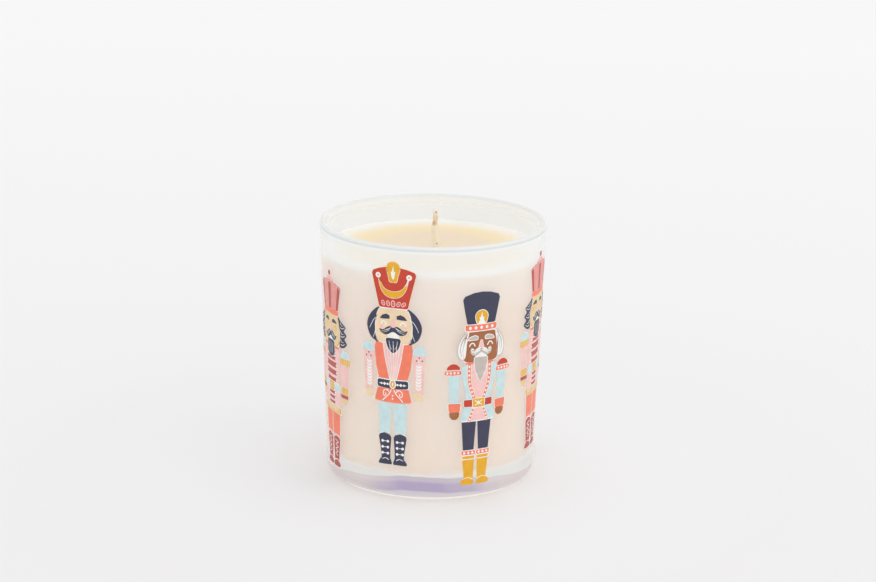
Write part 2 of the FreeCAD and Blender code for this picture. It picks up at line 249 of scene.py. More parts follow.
def let_light_through(material, seen, tint):
    """Material that looks as given, but lets the light that falls on what is behind it through, tinted."""
    tree = material.node_tree
    clear = add_node(tree, "BsdfTransparent", {"Color": (*tint, 1)})
    path = add_node(tree, "LightPath")
    spread = mixed(tree, path.outputs["Is Diffuse Ray"], seen, clear)
    return finished(material, mixed(tree, path.outputs["Is Shadow Ray"], spread, clear))


def ink_material(name, rgb):
    """Satin print ink: faint mottling in its colour and gloss, and a fine screen texture."""
    material, tree = node_material(name)
    plain = linear(rgb)
    dark, light = ([min(1, share * c) for c in plain] for share in (1 - INK_MOTTLE, 1 + INK_MOTTLE))
    grain = object_noise(tree, 5200, 2)
    shader = principled(tree, {"Base Color": ramp(tree, object_noise(tree, 450), (0.3, dark), (0.7, light)),
        "Roughness": remap(tree, grain, 0, 1, 0.34, 0.5), "IOR": 1.48, "Normal": bump(tree, grain, 0.25,
        0.00003)})
    return let_light_through(material, shader, [0.72 + 0.22 * c for c in plain])


def wax_material():
    """Cream wax: light spreads in it, yellower near the wall, with a satin, slightly uneven surface."""
    material, tree = node_material("cream_wax")
    frost = object_noise(tree, 900, 4, 0.65)
    from_axis = step(tree, length(tree, level_place(tree)), 0, RIM_RADIUS)
    surface = ramp(tree, from_axis, (0.45, linear((239, 219, 191))), (0.66, linear((246, 225, 181))),
        (0.76, linear((248, 231, 197))), (0.87, linear((247, 241, 229))), (0.93, linear((247, 245, 238))))
    body = ramp(tree, object_noise(tree, 60, 4), (0.3, linear((243, 221, 198))),
        (0.7, linear((247, 228, 206))))
    near_top = step(tree, object_axes(tree)["Z"], WAX_LEVEL - 1.5, WAX_LEVEL - 0.5)
    return finished(material, principled(tree, {"Base Color": blend(tree, near_top, body, surface),
        "Roughness": remap(tree, frost, 0, 1, 0.38, 0.6), "IOR": WAX_IOR, "Subsurface Weight": 0.5,
        "Subsurface Radius": (0.006, 0.0042, 0.0025), "Subsurface Scale": 1, "Normal": bump(tree, frost,
        0.2, 0.0001)}))


def wick_material():
    """Cotton soaked in wax: cream where the wax is thick, tan above, with a dark speck at the tip, another
    at the foot, and broad painted shade at the pinch.
    """
    material, tree = node_material("waxed_cotton")
    fibre = object_noise(tree, 2600, 4, 0.7)
    height = object_axes(tree)["Z"]
    waxed, dry, tip = (ramp(tree, fibre, (0.25, linear(dark)), (0.65, linear(light))) for dark,
        light in (((240, 224, 196), (250, 242, 224)), ((222, 198, 164), (240, 224, 198)),
        ((238, 224, 206), (250, 242, 230))))
    colour = blend(tree, step(tree, height, 89.6, 90.4), waxed, dry)
    colour = blend(tree, step(tree, height, 92.6, 94.2), colour, tip)
    # Dark specks at the tip and at the foot; the broad pale-brown patch at 90.8 mm is painted shade where
    # the wick pinches.
    for spot, size, shade in (((0.95, -0.8, 94.7), 0.42, (120, 92, 66)),
            ((1.35, -0.8, 83.4), 0.4, (150, 122, 92)), ((0.1, -0.7, 90.8), 1.1, (206, 176, 138))):
        colour = blend(tree, speck(tree, spot, size), colour, (*linear(shade), 1))
    return finished(material, principled(tree, {"Base Color": colour, "Roughness": 0.55, "IOR": WAX_IOR,
        "Subsurface Weight": 0.2, "Subsurface Radius": (0.0012, 0.0009, 0.0006), "Subsurface Scale": 1,
        "Normal": bump(tree, fibre, 0.5, 0.0001)}))


def speck(tree, spot, size):
    """Share that is highest at a spot on the object and fades out within a size, in millimetres."""
    centre = tuple(c * MM for c in spot)
    distance = add_node(tree, "VectorMath", {0: object_place(tree), 1: centre}, operation="DISTANCE")
    return step(tree, distance.outputs["Value"], size, 0.4 * size, 0, 0.85)


def glass_material():
    """Clear glass, pearl-coated outside and underneath, with a painted glow along its heel; light that
    falls on the wax passes it.
    """
    material, tree = node_material("pearl_glass")
    glass = principled(tree, {"Base Color": (0.99, 0.988, 0.985, 1), "Roughness": 0.02, "IOR": GLASS_IOR,
        "Transmission Weight": 1})
    lustre = pearl_colour(tree)
    # Painted highlight: the heel glows faintly from about 0.4 to 1.9 mm up, for the light that the thick
    # floor gathers.
    glint = ramp(tree, step(tree, object_axes(tree)["Z"], 0, 4), (0.1, grey(0)), (0.16, HEEL_GLINT),
        (0.36, HEEL_GLINT), (0.48, grey(0)))
    pearl = principled(tree, {"Base Color": lustre, "Roughness": 0.08, "IOR": GLASS_IOR,
        "Emission Color": glint, "Emission Strength": 1})
    milky = mixed(tree, 0.2, pearl, add_node(tree, "BsdfTranslucent", {"Color": lustre}))
    return let_light_through(material, mixed(tree, pearl_cover(tree), glass, milky), (0.97, 0.965, 0.965))


def pearl_colour(tree):
    """Pale pink, cream and lilac on the wall; a painted highlight band just above the foot, then lilac and
    pale bands round the thick floor; painted shade and highlight at the rim.
    """
    level, axes = level_place(tree), object_axes(tree)
    height, aside = axes["Z"], maths(tree, "ABSOLUTE", axes["X"])
    patches = object_noise(tree, 22, 2, 0.5, 0.6)
    wall = ramp(tree, patches, (0.3, (0.98, 0.89, 0.90)), (0.45, (0.98, 0.91, 0.87)),
        (0.6, (0.94, 0.93, 0.92)), (0.72, (0.94, 0.92, 0.98)))
    swing = remap(tree, noise_share(tree, level, 60, 3, 0.5), 0.3, 0.7, -0.5 * MM, 0.5 * MM)
    square = maths(tree, "POWER", step(tree, aside, 0, BASE_RADIUS), 2)
    lower = maths(tree, "ADD", maths(tree, "MULTIPLY_ADD", square, 5 * MM, height), swing)
    raised = maths(tree, "MULTIPLY_ADD", square, -0.8 * MM, height)
    across = step(tree, maths(tree, "MULTIPLY_ADD", swing, 8, aside), 0, 40)
    lilac = ramp(tree, across, (0.12, (0.49, 0.42, 0.70)), (0.38, (0.62, 0.57, 0.76)),
        (0.62, (0.84, 0.79, 0.83)), (0.95, (0.82, 0.74, 0.76)))
    mauve = ramp(tree, across, (0.2, (0.66, 0.62, 0.76)), (0.6, (0.86, 0.80, 0.83)),
        (0.95, (0.84, 0.77, 0.78)))
    pale = ramp(tree, patches, (0.3, (0.97, 0.97, 0.98)), (0.7, (0.91, 0.97, 0.95)))
    # From the foot up: each tint takes over from the one below it between its two levels. The first, bright
    # tint just above the foot is a painted highlight for the bright floor seen through the heel.
    colour = (0.90, 0.86, 0.78, 1)
    for measure, start, end, tint in ((height, 0.35, 0.7, (1, 1, 0.97, 1)),
            (height, 1.5, 2, (0.80, 0.79, 0.88, 1)), (lower, 3.6, 4.3, lilac), (lower, 6.9, 7.9, mauve),
            (lower, 9.2, 9.4, pale), (raised, 9.9, 10.5, wall), (height, WAX_LEVEL - 16, WAX_LEVEL + 1,
            (0.95, 0.975, 0.97, 1))):
        colour = blend(tree, step(tree, measure, start, end), colour, tint)
    # Painted light at the rim: a grey ring just below it on the outside is painted shade, and the tint on
    # its top a painted highlight; together they paint the rim's dark edge line and bright line.
    outer_side = step(tree, length(tree, level), RIM_RADIUS - 1.2, RIM_RADIUS - 0.9)
    edge = maths(tree, "MULTIPLY", step(tree, height, HEIGHT - 1.7, HEIGHT - 1.4), outer_side)
    colour = blend(tree, edge, colour, (0.74, 0.79, 0.80, 1))
    return blend(tree, step(tree, height, HEIGHT - 1, HEIGHT - 0.7), colour, (0.87, 0.90, 0.89, 1))


def pearl_cover(tree):
    """Share of the coat: on the outside and the rim only, denser near the rim and round the thick floor."""
    height = object_axes(tree)["Z"]
    taper = maths(tree, "MULTIPLY", height, (RIM_RADIUS - BASE_RADIUS) / HEIGHT)
    depth = maths(tree, "SUBTRACT", length(tree, level_place(tree)), taper)
    outside = step(tree, depth, BASE_RADIUS - 0.9, BASE_RADIUS - 0.5)
    heel = step(tree, height, BASE_CORNER, BASE_CORNER - 0.5)
    rim = step(tree, height, HEIGHT - 1.7 * RIM_WALL, HEIGHT - 0.9 * RIM_WALL)
    coated = maths(tree, "MAXIMUM", maths(tree, "MAXIMUM", outside, heel), rim)
    density = ramp(tree, step(tree, height, 0, HEIGHT), *((at, grey(share)) for at, share in ((0, 0.92),
        (0.01, 0.92), (0.02, 0.78), (0.11, 0.80), (0.13, 0.44), (0.65, 0.46), (0.82, 0.58), (0.97, 0.70),
        (0.985, 0.88))))
    return maths(tree, "MULTIPLY", coated, density)


def metal_material():
    """Tinned steel with a fine rolled grain."""
    material, tree = node_material("tinned_steel")
    stretched = add_node(tree, "Mapping", {"Vector": object_place(tree), "Scale": (400, 9000, 400)})
    grain = noise_share(tree, stretched.outputs["Vector"], 1, 3, 0.5)
    return finished(material, principled(tree, {"Base Color": ramp(tree, grain, (0.3, (0.52, 0.52, 0.53)),
        (0.7, (0.66, 0.66, 0.67))), "Metallic": 1, "Roughness": remap(tree, grain, 0, 1, 0.25, 0.45),
        "Normal": bump(tree, grain, 0.2, 0.00002)}))


def foam_material():
    """White foam tape with fine open cells."""
    material, tree = node_material("foam_tape")
    cells = add_node(tree, "TexVoronoi", {"Vector": object_place(tree), "Scale": 3500}).outputs["Distance"]
    return finished(material, principled(tree, {"Base Color": ramp(tree, cells, (0, (0.62, 0.61, 0.58)),
        (0.5, (0.84, 0.83, 0.80))), "Roughness": 0.85, "Normal": bump(tree, cells, 0.6, 0.0001)}))


# ---- turned pieces ----

def arc_points(centre, radius, start, end, steps):
    """Points of an arc in a turned profile; angles in degrees from +r towards +z."""
    angles = [math.radians(start + (end - start) * i / steps) for i in range(steps + 1)]
    return [(centre[0] + radius * math.cos(a), centre[1] + radius * math.sin(a)) for a in angles]


def line_points(start, end, steps):
    return [(start[0] + (end[0] - start[0]) * i / steps,
        start[1] + (end[1] - start[1]) * i / steps) for i in range(steps + 1)]


def without_repeats(points):
    kept = [points[0]]
    for point in points[1:]:
        if math.dist(point, kept[-1]) > 0.01:
            kept.append(point)
    return kept


def ring_faces(rings, around):
    """Faces between rings of points, each ring with the same number of them."""
    faces = []
    for a in range(0, (rings - 1) * around, around):
        for i in range(around):
            j = (i + 1) % around
            faces.append((a + i, a + j, a + around + j, a + around + i))
    return faces


def turned(name, profile, material, shift=None):
    """Turns a profile, which starts and ends on the axis, round +Z. shift moves a point of the surface."""
    vertices = []
    for r, z in profile[1:-1]:
        for i in range(ROUND_STEPS):
            angle = 2 * math.pi * i / ROUND_STEPS
            point = (r * math.sin(angle), -r * math.cos(angle), z)
            vertices.append(shift(point) if shift else point)
    rings = len(profile) - 2
    faces = ring_faces(rings, ROUND_STEPS)
    first, last = len(vertices), len(vertices) + 1
    vertices += [(0, 0, profile[0][1]), (0, 0, profile[-1][1])]
    top = (rings - 1) * ROUND_STEPS
    for i in range(ROUND_STEPS):
        j = (i + 1) % ROUND_STEPS
        faces.append((first, j, i))
        faces.append((last, top + i, top + j))
    return new_object(name, vertices, faces, material)


def cavity_profile(gap, top, steps=40):
    """Inside of the glass from the top down to the axis; a positive gap makes it wider and deeper."""
    floor = FLOOR_TOP - gap
    corner = inner_radius(FLOOR_TOP + CAVITY_CORNER) + gap - CAVITY_CORNER
    wall = line_points((inner_radius(top) + gap, top), (inner_radius(FLOOR_TOP + CAVITY_CORNER) + gap,
        floor + CAVITY_CORNER), steps)
    bend = arc_points((corner, floor + CAVITY_CORNER), CAVITY_CORNER, 0, -90, 14)
    return wall + bend + line_points((corner, floor), (0, floor), 12)


def glass_profile():
    """Closed outline of the tumbler's wall, from the axis underneath to the axis on its floor."""
    sphere = (PUNT_RADIUS ** 2 + PUNT_DEPTH ** 2) / (2 * PUNT_DEPTH)
    radii = [PUNT_RADIUS * i / 16 for i in range(17)]
    punt = [(r, PUNT_DEPTH - sphere + math.sqrt(sphere ** 2 - r ** 2)) for r in radii]
    corner = outer_radius(BASE_CORNER) - BASE_CORNER
    heel = arc_points((corner, BASE_CORNER), BASE_CORNER, -90, 0, 12)
    lip = (RIM_WALL - 0.04) / 2
    lip_centre = (RIM_RADIUS - 0.03 - lip, HEIGHT - lip)
    wall = line_points(heel[-1], (lip_centre[0] + lip, lip_centre[1]), 40)
    rim = arc_points(lip_centre, lip, 0, 180, 16)
    return without_repeats(punt + line_points(punt[-1], heel[0],
        2) + heel + wall + rim + cavity_profile(0, lip_centre[1]))


def pressed_glass(point):
    """Slight unevenness of pressed glass, strongest at the inside of the floor."""
    x, y, z = point
    r = math.hypot(x, y)
    inside = r < outer_radius(z) - 1 and z > FLOOR_TOP - 0.5
    near_floor = max(0, 1 - abs(z - FLOOR_TOP) / 7) if inside else 0
    wave = noise.noise(Vector((x, y, z)) * 0.07)
    lift = 0.55 * near_floor * wave
    swell = 1 + 0.0012 * noise.noise(Vector((x, y, z * 0.6)) * 0.06 + Vector((9, 0, 0)))
    return (x * swell, y * swell, z + lift)


def make_glass():
    glass = turned("glass_body", glass_profile(), glass_material(), pressed_glass)
    place(glass, "pearl_glass", "glass_tumbler")


def wax_surface(point):
    """Fine unevenness of the poured top, with a faint dip round the wick, where the wax climbs a little."""
    x, y, z = point
    if z < WAX_LEVEL - 4:
        return pressed_glass(point)
    if z <= WAX_LEVEL - 0.5:
        return point
    ripple = 0.10 * noise.noise(Vector((x, y, 0)) * 0.12) + 0.03 * noise.noise(Vector((x, y, 5)) * 0.5)
    fade = min(1, max(0, (37 - math.hypot(x, y)) / 5))
    from_wick = math.hypot(x - WICK_X, y)
    dip = -0.25 * math.exp(-((from_wick / 4) ** 2))
    climb = 0.35 * math.exp(-((max(0, from_wick - 1.1) / 0.45) ** 2))
    return (x, y, z + ripple * fade + dip + climb)


def make_wax():
    """Poured wax, which wets the glass, so it overlaps the cavity's surface by a hair."""
    flat = inner_radius(WAX_LEVEL) + WAX_OVERLAP - CREEP_WIDTH
    creep = [(flat + CREEP_WIDTH * i / 10, WAX_LEVEL + CREEP_HEIGHT * (i / 10) ** 2.2) for i in range(11)]
    inner_rings = [(flat * (i / 44), WAX_LEVEL) for i in range(45)]
    profile = cavity_profile(WAX_OVERLAP,
        WAX_LEVEL + CREEP_HEIGHT)[::-1] + creep[::-1][1:] + inner_rings[::-1][1:]
    wax = turned("wax_body", without_repeats(profile), wax_material(), wax_surface)
    place(wax, "cream_wax", "wax_fill")


def make_tab_and_sticker():
    """The two hidden pieces keep their CAD shapes; only their materials are dressed."""
    for node, material in (("wick_tab", metal_material()), ("wick_sticker", foam_material())):
        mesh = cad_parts[node].data
        mesh.materials.clear()
        mesh.materials.append(material)


# ---- wick ----

def wick_centre(z):
    """Middle of the wick at a height: straight in the wax, with a slight double bend above it."""
    if z <= WICK_BEND[0]:
        return WICK_X
    t = (z - WICK_BEND[0]) / (WICK_BEND[1] - WICK_BEND[0])
    return WICK_X - 0.34 * math.sin(math.pi * min(1, 1.1 * t)) ** 2 - 0.1 * t


def wick_half_width(z):
    """Broad where the wax is thick, pinched above it, and a little broader again before the round tip."""
    above = z - WICK_PINCH
    return 1.14 - 0.22 / (1 + math.exp(-above / 0.35)) - 0.5 * (0.30 * math.exp(-(above / 0.7) ** 2))


def make_wick():
    """Braided cotton: strands that cross over a core, soaked in wax and thicker near the pool."""
    low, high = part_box("wick")[0].z / MM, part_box("wick")[1].z / MM
    around, levels = 48, 520
    vertices = []
    for k in range(levels + 1):
        z = low + (high - low) * k / levels
        tip = min(1, max(0, (high - z) / 0.9))
        close = math.sqrt(max(0, 1 - (1 - tip) ** 2))
        twist = 0.3 * math.sin(0.5 * z)
        for i in range(around):
            angle = 2 * math.pi * i / around
            over = math.cos(2 * angle + 2.1 * z)
            under = math.cos(2 * angle - 2.1 * z + 1.2)
            strand = 0.07 * max(over, under)
            x = (wick_half_width(z) + strand) * (0.25 + 0.75 * close) * math.cos(angle)
            y = (0.78 + strand) * (0.25 + 0.75 * close) * math.sin(angle)
            vertices.append((wick_centre(z) + x * math.cos(twist) - y * math.sin(twist),
                x * math.sin(twist) + y * math.cos(twist), z))
    faces = ring_faces(levels + 1, around)
    faces.append(tuple(reversed(range(around))))
    top = levels * around
    centre = len(vertices)
    vertices.append((wick_centre(high), 0, high - 0.35))
    faces += [(top + i, top + (i + 1) % around, centre) for i in range(around)]
    wick = new_object("wick_braid", vertices, faces, wick_material())
    place(wick, "waxed_cotton", "wick")


# ---- outlines of a drawing ----

def neighbours(points):
    """Each point of a closed outline between the one before it and the one after it."""
    path = [Vector(p) for p in points]
    return zip(path[-1:] + path[:-1], path, path[1:] + path[:1])


def rounded(points, radius, steps=5):
    """Closed outline with its corners rounded by arcs."""
    result = []
    for before, corner, after in neighbours(points):
        to_before, to_after = before - corner, after - corner
        reach_limit = 0.48 * min(to_before.length, to_after.length)
        to_before.normalize()
        to_after.normalize()
        turn = math.pi - to_before.angle(to_after)
        if radius <= 0 or turn < 0.05:
            result.append(tuple(corner))
            continue
        reach = min(radius * math.tan(turn / 2), reach_limit)
        start, end = corner + to_before * reach, corner + to_after * reach
        for k in range(steps + 1):
            t = k / steps
            result.append(tuple((1 - t) ** 2 * start + 2 * t * (1 - t) * corner + t ** 2 * end))
    return result


def curve(points, closed=True, steps=5):
    """Smooth line through the points."""
    count = len(points)
    result = []
    for i in range(count if closed else count - 1):
        at = [(i + k) % count if closed else min(max(i + k, 0), count - 1) for k in (-1, 0, 1, 2)]
        p = [Vector(points[k]) for k in at]
        square = 2 * p[0] - 5 * p[1] + 4 * p[2] - p[3]
        cube = 3 * p[1] - p[0] - 3 * p[2] + p[3]
        for t in [k / steps for k in range(steps)]:
            result.append(tuple(0.5 * (2 * p[1] + (p[2] - p[0]) * t + square * t ** 2 + cube * t ** 3)))
    if not closed:
        result.append(tuple(points[-1]))
    return result


def oval(s, h, half_width, half_height, tilt=0, steps=20):
    turn = math.radians(tilt)
    result = []
    for i in range(steps):
        a = 2 * math.pi * i / steps
        x, y = half_width * math.cos(a), half_height * math.sin(a)
        result.append((s + x * math.cos(turn) - y * math.sin(turn),
            h + x * math.sin(turn) + y * math.cos(turn)))
    return result


def stroke(points, width, end_width=None, steps=5):
    """Outline of a painted line through the points, with round ends."""
    path = [Vector(p) for p in curve(points, False, steps)]
    end_width = width if end_width is None else end_width
    left, right = [], []
    last = len(path) - 1
    for i, point in enumerate(path):
        along = (path[min(i + 1, last)] - path[max(i - 1, 0)]).normalized()
        across = Vector((-along.y, along.x)) * (width + (end_width - width) * i / last) / 2
        left.append(point + across)
        right.append(point - across)
    outline = left + cap(path[-1], left[-1], right[-1]) + right[::-1] + cap(path[0], right[0], left[0])
    return [tuple(p) for p in outline]


def cap(centre, start, end, steps=4):
    """Points between the two sides of a round line end."""
    first = start - centre
    angle = math.atan2(first.y, first.x)
    return [centre + first.length * Vector((math.cos(angle - math.pi * k / steps),
        math.sin(angle - math.pi * k / steps))) for k in range(1, steps)]


def mirrored(outline):
    return [(-s, h) for s, h in reversed(outline)]


def symmetric(right, before=None):
    """Closed outline from its right side, with so many of the left points before that side: all, or one."""
    left = mirrored([point for point in right if point[0]])
    before = len(left) if before is None else before
    return left[len(left) - before:] + right + left[:len(left) - before]


def grown(outline, amount):
    """Outline moved outwards a little, for the white that shows round a shape."""
    area = sum(a[0] * b[1] - b[0] * a[1] for a, b in zip(outline, outline[1:] + outline[:1]))
    side = 1 if area > 0 else -1
    result = []
    for a, b, c in neighbours(outline):
        first, second = b - a, c - b
        if first.length < 1e-6 or second.length < 1e-6:
            continue
        normal = Vector((first.y, -first.x)).normalized() + Vector((second.y, -second.x)).normalized()
        if normal.length > 1e-6:
            b = b + normal.normalized() * amount * side
        result.append(tuple(b))
    return result


class Drawing:
    """Painted shapes, each with an ink and the layer it lies in; shift moves the next ones sideways."""

    def __init__(self, *parts):
        self.shapes = []
        for part in parts:
            self.shift = 0
            part(self)

    def add(self, ink, layer, outline, corner=0, edge=0, edge_ink="white"):
        """Adds a shape with rounded corners; an edge puts another ink under it that shows round it."""
        if corner:
            outline = rounded(outline, corner)
        outline = [(s + self.shift, h) for s, h in outline]
        self.shapes.append((ink, layer, outline))
        if edge:
            self.shapes.append((edge_ink, layer - 1, grown(outline, edge)))

    def both(self, ink, layer, outline, corner=0, edge=0):
        """Adds a shape on the right and its mirror image on the left."""
        if corner:
            outline = rounded(outline, corner)
        self.add(ink, layer, outline, 0, edge)
        self.add(ink, layer, mirrored(outline), 0, edge)

    def white_line(self, layer, *line):
        self.add("white", layer, stroke(*line))

    def white_lines(self, layer, *line):
        self.both("white", layer, stroke(*line))


# ---- wrapping a drawing on the glass ----

def flat_mesh(outline):
    """Points, faces and border edges of a filled outline, cut in strips so that it can be bent."""
    bm = bmesh.new()
    corners = [bm.verts.new((s, h, 0)) for s, h in without_repeats(outline)]
    bm.faces.new(corners)
    bm.normal_update()
    bmesh.ops.triangulate(bm, faces=bm.faces[:], ngon_method="BEAUTY")
    low = min(v.co.x for v in corners)
    high = max(v.co.x for v in corners)
    cut = STRIP * math.ceil(low / STRIP)
    while cut < high:
        bmesh.ops.bisect_plane(bm, geom=bm.verts[:] + bm.edges[:] + bm.faces[:], dist=MERGE,
            plane_co=(cut, 0, 0), plane_no=(1, 0, 0))
        cut += STRIP
    bmesh.ops.remove_doubles(bm, verts=bm.verts[:], dist=MERGE)
    bm.normal_update()
    for face in bm.faces:
        if face.normal.z < 0:
            face.normal_flip()
    bm.verts.index_update()
    points = [(v.co.x, v.co.y) for v in bm.verts]
    faces = [tuple(v.index for v in f.verts) for f in bm.faces]
    loops = [edge.link_loops[0] for edge in bm.edges if len(edge.link_loops) == 1]
    border = [(loop.vert.index, loop.link_loop_next.vert.index) for loop in loops]
    bm.free()
    return points, faces, border


def wrapped(points, sole, angle, lift):
    """Places of flat points on the glass, raised from its surface."""
    result = []
    for s, h in points:
        z = sole + h
        r = outer_radius(z)
        turn = math.radians(angle) + s / r
        result.append(((r + lift) * math.sin(turn), -(r + lift) * math.cos(turn), z))
    return result


def make_prints(drawings, materials):
    """One piece for each ink of each soldier, at all of that soldier's places round the glass."""
    known = set(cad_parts)
    pieces = {}
    for soldier, drawing in drawings.items():
        places = [(FIRST_PRINT_ANGLE + PRINT_PITCH * i, sole) for i,
            (name, sole) in enumerate(PRINT_ORDER) if name == soldier]
        for ink, layer, outline in drawing.shapes:
            points, faces, border = flat_mesh(outline)
            vertices, all_faces = pieces.setdefault((soldier, ink), ([], []))
            for angle, sole in places:
                first = len(vertices)
                second = first + len(points)
                vertices += wrapped(points, sole, angle, FILM * (layer + 1))
                vertices += wrapped(points, sole, angle, FILM * (layer - OVERLAP))
                all_faces += [tuple(first + v for v in face) for face in faces]
                all_faces += [tuple(second + v for v in reversed(face)) for face in faces]
                all_faces += [(first + b, first + a, second + a, second + b) for a, b in border]
    for (soldier, ink), (vertices, faces) in pieces.items():
        piece = new_object(f"{soldier}_print_{ink}", vertices, faces, materials[ink])
        node = f"{soldier}_soldier_{ink}_ink"
        place(piece, f"{ink}_ink", *([node] if node in known else []))


# ---- features that the soldiers share ----

def dots(art, ink, layer, places, radius):
    for s, h in places:
        art.add(ink, layer, oval(s, h, radius, radius, steps=12))


def along(points, count):
    """Evenly spaced places along a smooth line, its ends included."""
    path = [Vector(p) for p in curve(points, False, 12)]
    lengths = np.cumsum([0] + [(b - a).length for a, b in zip(path, path[1:])])
    result = []
    for k in range(count):
        at = lengths[-1] * k / (count - 1)
        i = min(int(np.searchsorted(lengths, at, "right")) - 1, len(path) - 2)
        share = (at - lengths[i]) / max(lengths[i + 1] - lengths[i], 1e-9)
        result.append(tuple(path[i].lerp(path[i + 1], share)))
    return result


def flame(low, high, width, foot):
    """Outline of the white flame in a badge: a thin tip, two side tips and a foot."""
    tall = high - low
    half = [(foot, low + 0.03 * tall), (0.8 * width, low + 0.34 * tall), (width, low + 0.6 * tall),
        (0.42 * width, low + 0.56 * tall), (0.24 * width, low + 0.76 * tall),
        (0.1 * width, low + 0.95 * tall)]
    return rounded([(-s, h) for s, h in half] + [(0, high)] + half[::-1] + [(0, low - 0.1)], 0.12, 3)


def draw_smiling_eyes(art, h, s=3.5):
    art.white_lines(DETAIL, [(s - 1, h - 0.55), (s - 0.55, h + 0.35), (s + 0.1, h + 0.5),
        (s + 0.7, h + 0.1), (s + 1, h - 0.5)], 0.42)


def draw_moustache(art, ink, h, half):
    """Moustache from the middle of its top, at h; half is the outline of its right side from there."""
    right = [(s, h + dh) for s, dh in half]
    art.add(ink, FINE, curve([(-s, z) for s, z in reversed(right[1:-1])] + right, True, 4))
    reach = max(s for s, dh in half)
    for lift, start, end in ((0.3, 0.15, 0.62), (-0.2, 0.22, 0.86), (-0.75, 0.3, 0.78)):
        art.white_lines(FINER, [(start * reach, h - 0.45 + lift),
            ((start + end) / 2 * reach, h - 1.15 + lift), (end * reach, h - 1.5 + lift)], 0.15, 0.08)


HANDLEBAR = [(0, -0.3), (1.1, 0.25), (2.3, -0.15), (3.4, -1), (4.3, -1.2), (5.1, -1), (4.5, -2.2),
    (3.2, -2.85), (1.9, -2.7), (0.8, -2), (0, -1.7)]
CURLED = [(0, -0.3), (0.9, 0.2), (1.9, -0.4), (2.6, -0.9), (2.9, -0.3), (3.6, 0.1), (4, -0.7), (3.9, -1.8),
    (3, -2.7), (1.7, -2.8), (0.8, -2.2), (0, -1.8)]


# ---- the soldier in the red hat ----

def draw_red_hat_legs(art):
    art.shift = -0.35
    boot = [(0.25, 0.15), (5.1, 0.05), (5.3, 0.7), (4.7, 1.7), (4.1, 2.4), (4.2, 4.2), (4.6, 7),
        (5.15, 10.2), (4.6, 11.2), (2.8, 11.7), (1, 11.1), (0.4, 10.2), (0.75, 6), (0.8, 2.5), (0.2, 0.9)]
    art.both("navy", MAIN, boot, 0.7)
    for h in (4.2, 6.4, 8.6):
        art.white_lines(OVER, [(1.7, h), (3.9, h)], 0.22)
        for s in (1.7, 3.7):
            art.both("white", DETAIL, oval(s, h, 0.48, 0.5, steps=12))
    art.white_lines(OVER, [(1.5, 1.9), (2.6, 2.35), (3.8, 1.9)], 0.28, 0.18)
    art.both("mint", MAIN, [(0.95, 11.4), (2.8, 12), (4.75, 11), (5.3, 22.9), (0.25, 22.7)], 0.4)
    art.white_lines(OVER, [(4, 11.6), (4.9, 11.1)], 0.3, 0.15)


def draw_red_hat_coat(art):
    art.shift = -0.25
    art.add("coral", MAIN, [(-6.8, 23.3), (-3, 23), (3, 23), (6.8, 23.4), (5.6, 28.1), (-5.6, 28.1)], 0.6)
    art.white_lines(OVER, [(0.5, 27.6), (1.2, 26.2), (2.4, 24.9), (3.7, 23.5)], 0.32)
    art.white_lines(OVER, [(1, 26.4), (2.2, 27.7), (3.4, 26.8), (3.3, 25.3), (2.5, 25.6), (2.6, 26.3)],
        0.28)
    art.white_lines(OVER, [(1.5, 27.7), (2.2, 27.2)], 0.24)
    dots(art, "white", OVER, [(0, 25.5), (0, 24.4)], 0.3)
    art.add("navy", MAIN, [(-5.7, 28.3), (0, 28), (5.6, 28.3), (5.6, 31.2), (0, 31), (-5.7, 31.2)], 0.9,
        0.32)
    for centre in (-3, 2.95):
        for ds, size in ((-1.15, 0.5), (0, 0.62), (1.15, 0.5)):
            art.add("white", OVER, rounded([(centre + ds - size, 29.6), (centre + ds, 29.6 - size),
                (centre + ds + size, 29.6), (centre + ds, 29.6 + size)], 0.15, 3))
        art.white_line(OVER, [(centre - 1.9, 29.6), (centre + 1.9, 29.6)], 0.22)
    art.add("gold", DETAIL, oval(0, 29.7, 0.85, 1.3), 0, 0.4)
    art.add("white", FINE, oval(0, 29.7, 0.28, 0.75, steps=12))
    art.shift = 0
    art.add("coral", MAIN, [(-5.3, 31.5), (5.1, 31.5), (6.2, 36), (6.9, 42.2), (6.6, 44.4), (0, 44.6),
        (-6.6, 44.4), (-7, 42.2), (-6.4, 36)], 0.8)
    art.add("pink", OVER, [(-3.7, 44.3), (-3, 40), (-1.3, 31.7), (1.1, 31.7), (2.7, 39), (3.6, 44.3)], 0,
        0.3)
    for top, bottom in ((-2.4, -0.8), (-1.2, -0.35), (0.1, 0), (1.3, 0.35), (2.4, 0.7)):
        art.white_line(DETAIL, [(top, 43.8), (0.55 * top + 0.45 * bottom, 38), (bottom, 32)], 0.17, 0.12)


def draw_red_hat_arms(art):
    for side in (-1, 1):
        art.shift = -0.1 if side < 0 else -0.15
        shape = mirrored if side < 0 else list
        art.add("skin", MAIN, shape(oval(9.1, 25.9, 1.75, 1.8)))
        art.add("pink", OVER, shape(rounded([(7.9, 27.2), (10.7, 27.2), (11.35, 41.4), (7.25, 41.4)], 0.3)))
        art.add("mint", DETAIL, shape(rounded([(6.9, 41), (8, 40.7), (11.2, 40.7), (12, 41.1), (11.6, 42.8),
            (10.6, 43.9), (9.4, 44.2), (8.2, 43.8), (7.3, 42.7)], 0.8)))
        dots(art, "navy", DETAIL, [(side * s, h) for s, h in ((9.3, 40), (10.3, 38.9), (8.4, 38.9))], 0.26)
        art.add("white", DETAIL, shape(stroke([(9.15, 38.8), (9.1, 36)], 0.2)))
        for k in range(8):
            h = 28.2 + 1.15 * k
            centre = 9 + 0.02 * k
            art.add("white", DETAIL, shape(curve([(centre, h - 0.1), (centre + 0.95, h + 0.55),
                (centre + 0.75, h + 1.15), (centre, h + 0.6), (centre - 0.75, h + 1.15),
                (centre - 0.95, h + 0.55)], True, 3)))


